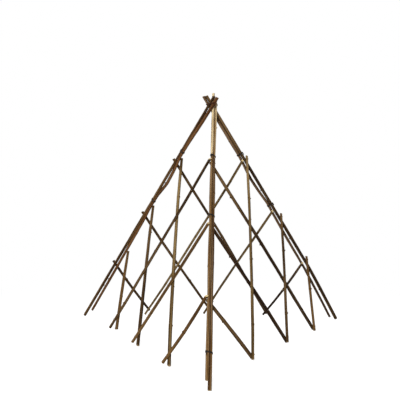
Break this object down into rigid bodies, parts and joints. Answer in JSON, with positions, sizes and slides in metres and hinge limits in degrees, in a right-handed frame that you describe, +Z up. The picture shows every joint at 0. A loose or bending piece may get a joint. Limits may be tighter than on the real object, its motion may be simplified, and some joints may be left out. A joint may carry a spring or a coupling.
{
  "type": "pyramid trellis",
  "caption": "Three-sided folding pyramid plant trellis of willow rods: lattice panels nailed to paired leg rods, lashed with wire where the legs cross at the top.",
  "frame": {"origin": "middle of the bounding box in plan, on the ground plane under the feet", "axes": "+Z up, -Y toward the front leg, +X toward the right leg; the left leg is on the -X side"},
  "size_m": [1.1866, 1.0296, 1.0031],
  "materials": {
    "willow_bark": "rough brown willow bark",
    "annealed_wire": "black annealed wire",
    "steel_nail": "dull bright steel"
  },
  "bodies": {
    "apex": {"apex_lashing": "annealed_wire"},
    "front_leg": {"front_leg_outer_rod": "willow_bark", "front_leg_inner_rod": "willow_bark", "front_left_outer_nail_1": "steel_nail", "front_left_outer_nail_2": "steel_nail", "front_left_outer_nail_3": "steel_nail", "front_right_inner_nail_1": "steel_nail", "front_right_inner_nail_2": "steel_nail", "front_right_inner_nail_3": "steel_nail", "front_leg_foot_wire": "annealed_wire", "front_leg_wire_1": "annealed_wire", "front_leg_wire_2": "annealed_wire"},
    "left_leg": {"left_leg_outer_rod": "willow_bark", "left_leg_inner_rod": "willow_bark", "front_left_inner_nail_1": "steel_nail", "front_left_inner_nail_2": "steel_nail", "front_left_inner_nail_3": "steel_nail", "back_outer_nail_1": "steel_nail", "back_outer_nail_2": "steel_nail", "back_outer_nail_3": "steel_nail", "left_leg_wire_1": "annealed_wire", "left_leg_wire_2": "annealed_wire"},
    "right_leg": {"right_leg_outer_rod": "willow_bark", "right_leg_inner_rod": "willow_bark", "front_right_outer_nail_1": "steel_nail", "front_right_outer_nail_2": "steel_nail", "front_right_outer_nail_3": "steel_nail", "back_inner_nail_1": "steel_nail", "back_inner_nail_2": "steel_nail", "back_inner_nail_3": "steel_nail", "right_leg_wire_1": "annealed_wire", "right_leg_wire_2": "annealed_wire"},
    "back_inner_rod_1": {"back_inner_rod_1": "willow_bark"},
    "back_inner_rod_2": {"back_inner_rod_2": "willow_bark"},
    "back_inner_rod_3": {"back_inner_rod_3": "willow_bark"},
    "back_outer_rod_1": {"back_outer_rod_1": "willow_bark"},
    "back_outer_rod_2": {"back_outer_rod_2": "willow_bark"},
    "back_outer_rod_3": {"back_outer_rod_3": "willow_bark"},
    "front_left_inner_rod_1": {"front_left_inner_rod_1": "willow_bark"},
    "front_left_inner_rod_2": {"front_left_inner_rod_2": "willow_bark"},
    "front_left_inner_rod_3": {"front_left_inner_rod_3": "willow_bark"},
    "front_left_outer_rod_1": {"front_left_outer_rod_1": "willow_bark"},
    "front_left_outer_rod_2": {"front_left_outer_rod_2": "willow_bark"},
    "front_left_outer_rod_3": {"front_left_outer_rod_3": "willow_bark"},
    "front_right_inner_rod_1": {"front_right_inner_rod_1": "willow_bark"},
    "front_right_inner_rod_2": {"front_right_inner_rod_2": "willow_bark"},
    "front_right_inner_rod_3": {"front_right_inner_rod_3": "willow_bark"},
    "front_right_outer_rod_1": {"front_right_outer_rod_1": "willow_bark"},
    "front_right_outer_rod_2": {"front_right_outer_rod_2": "willow_bark"},
    "front_right_outer_rod_3": {"front_right_outer_rod_3": "willow_bark"}
  },
  "joints": [
    {"name": "front_leg_fold", "type": "hinge", "parent": "apex", "child": "front_leg", "pos_m": [0.01269, 0.16572, 0.95002], "axis": [1, 0, 0], "range_deg": [-3, 27]},
    {"name": "left_leg_fold", "type": "hinge", "parent": "apex", "child": "left_leg", "pos_m": [0.01269, 0.16572, 0.95002], "axis": [-0.5, -0.866, 0], "range_deg": [-3, 27]},
    {"name": "right_leg_fold", "type": "hinge", "parent": "apex", "child": "right_leg", "pos_m": [0.01269, 0.16572, 0.95002], "axis": [-0.5, 0.866, 0], "range_deg": [-3, 27]},
    {"name": "back_inner_rod_1_turn", "type": "hinge", "parent": "right_leg", "child": "back_inner_rod_1", "pos_m": [0.13995, 0.25089, 0.72268], "axis": [0.0107, -0.9999, 0.0125], "range_deg": [-5.5, 49.5]},
    {"name": "back_inner_rod_2_turn", "type": "hinge", "parent": "right_leg", "child": "back_inner_rod_2", "pos_m": [0.27321, 0.32867, 0.50697], "axis": [0.0107, -0.9999, 0.0125], "range_deg": [-5.5, 49.5]},
    {"name": "back_inner_rod_3_turn", "type": "hinge", "parent": "right_leg", "child": "back_inner_rod_3", "pos_m": [0.41441, 0.41363, 0.27138], "axis": [0.0107, -0.9999, 0.0125], "range_deg": [-5.5, 49.5]},
    {"name": "back_outer_rod_1_turn", "type": "hinge", "parent": "left_leg", "child": "back_outer_rod_1", "pos_m": [-0.14259, 0.25246, 0.71832], "axis": [0.0549, 0.9928, -0.1068], "range_deg": [-5.2, 46.3]},
    {"name": "back_outer_rod_2_turn", "type": "hinge", "parent": "left_leg", "child": "back_outer_rod_2", "pos_m": [-0.28658, 0.33531, 0.48856], "axis": [0.0549, 0.9928, -0.1068], "range_deg": [-5.2, 46.3]},
    {"name": "back_outer_rod_3_turn", "type": "hinge", "parent": "left_leg", "child": "back_outer_rod_3", "pos_m": [-0.42967, 0.41779, 0.25984], "axis": [0.0549, 0.9928, -0.1068], "range_deg": [-5.2, 46.3]},
    {"name": "front_left_inner_rod_1_turn", "type": "hinge", "parent": "left_leg", "child": "front_left_inner_rod_1", "pos_m": [-0.11815, 0.2263, 0.72865], "axis": [0.8605, 0.5092, 0.0125], "range_deg": [-5.5, 49.5]},
    {"name": "front_left_inner_rod_2_turn", "type": "hinge", "parent": "left_leg", "child": "front_left_inner_rod_2", "pos_m": [-0.24725, 0.30333, 0.52542], "axis": [0.8605, 0.5092, 0.0125], "range_deg": [-5.5, 49.5]},
    {"name": "front_left_inner_rod_3_turn", "type": "hinge", "parent": "left_leg", "child": "front_left_inner_rod_3", "pos_m": [-0.36575, 0.36003, 0.31945], "axis": [0.8605, 0.5092, 0.0125], "range_deg": [-5.5, 49.5]},
    {"name": "front_left_outer_rod_1_turn", "type": "hinge", "parent": "front_leg", "child": "front_left_outer_rod_1", "pos_m": [0.01507, -0.01235, 0.71769], "axis": [-0.8872, -0.4488, -0.1068], "range_deg": [-5.2, 46.3]},
    {"name": "front_left_outer_rod_2_turn", "type": "hinge", "parent": "front_leg", "child": "front_left_outer_rod_2", "pos_m": [0.01504, -0.18077, 0.48409], "axis": [-0.8872, -0.4488, -0.1068], "range_deg": [-5.2, 46.3]},
    {"name": "front_left_outer_rod_3_turn", "type": "hinge", "parent": "front_leg", "child": "front_left_outer_rod_3", "pos_m": [0.01514, -0.34489, 0.25677], "axis": [-0.8872, -0.4488, -0.1068], "range_deg": [-5.2, 46.3]},
    {"name": "front_right_inner_rod_1_turn", "type": "hinge", "parent": "front_leg", "child": "front_right_inner_rod_1", "pos_m": [0.02178, -0.00025, 0.7069], "axis": [-0.8713, 0.4906, 0.0125], "range_deg": [-5.5, 49.5]},
    {"name": "front_right_inner_rod_2_turn", "type": "hinge", "parent": "front_leg", "child": "front_right_inner_rod_2", "pos_m": [0.02218, -0.15853, 0.48648], "axis": [-0.8713, 0.4906, 0.0125], "range_deg": [-5.5, 49.5]},
    {"name": "front_right_inner_rod_3_turn", "type": "hinge", "parent": "front_leg", "child": "front_right_inner_rod_3", "pos_m": [0.02283, -0.33301, 0.24299], "axis": [-0.8713, 0.4906, 0.0125], "range_deg": [-5.5, 49.5]},
    {"name": "front_right_outer_rod_1_turn", "type": "hinge", "parent": "right_leg", "child": "front_right_outer_rod_1", "pos_m": [0.15626, 0.25191, 0.73356], "axis": [0.8323, -0.544, -0.1068], "range_deg": [-5.2, 46.3]},
    {"name": "front_right_outer_rod_2_turn", "type": "hinge", "parent": "right_leg", "child": "front_right_outer_rod_2", "pos_m": [0.31067, 0.34112, 0.48643], "axis": [0.8323, -0.544, -0.1068], "range_deg": [-5.2, 46.3]},
    {"name": "front_right_outer_rod_3_turn", "type": "hinge", "parent": "right_leg", "child": "front_right_outer_rod_3", "pos_m": [0.43251, 0.41141, 0.2913], "axis": [0.8323, -0.544, -0.1068], "range_deg": [-5.2, 46.3]}
  ],
  "couplings": [
    {"joint": "left_leg_fold", "follows": "front_leg_fold", "ratio": 1},
    {"joint": "right_leg_fold", "follows": "front_leg_fold", "ratio": 1},
    {"joint": "back_inner_rod_1_turn", "follows": "front_leg_fold", "ratio": 1.83},
    {"joint": "back_inner_rod_2_turn", "follows": "front_leg_fold", "ratio": 1.83},
    {"joint": "back_inner_rod_3_turn", "follows": "front_leg_fold", "ratio": 1.83},
    {"joint": "back_outer_rod_1_turn", "follows": "front_leg_fold", "ratio": 1.714},
    {"joint": "back_outer_rod_2_turn", "follows": "front_leg_fold", "ratio": 1.714},
    {"joint": "back_outer_rod_3_turn", "follows": "front_leg_fold", "ratio": 1.714},
    {"joint": "front_left_inner_rod_1_turn", "follows": "front_leg_fold", "ratio": 1.83},
    {"joint": "front_left_inner_rod_2_turn", "follows": "front_leg_fold", "ratio": 1.83},
    {"joint": "front_left_inner_rod_3_turn", "follows": "front_leg_fold", "ratio": 1.83},
    {"joint": "front_left_outer_rod_1_turn", "follows": "front_leg_fold", "ratio": 1.714},
    {"joint": "front_left_outer_rod_2_turn", "follows": "front_leg_fold", "ratio": 1.714},
    {"joint": "front_left_outer_rod_3_turn", "follows": "front_leg_fold", "ratio": 1.714},
    {"joint": "front_right_inner_rod_1_turn", "follows": "front_leg_fold", "ratio": 1.83},
    {"joint": "front_right_inner_rod_2_turn", "follows": "front_leg_fold", "ratio": 1.83},
    {"joint": "front_right_inner_rod_3_turn", "follows": "front_leg_fold", "ratio": 1.83},
    {"joint": "front_right_outer_rod_1_turn", "follows": "front_leg_fold", "ratio": 1.714},
    {"joint": "front_right_outer_rod_2_turn", "follows": "front_leg_fold", "ratio": 1.714},
    {"joint": "front_right_outer_rod_3_turn", "follows": "front_leg_fold", "ratio": 1.714}
  ]
}
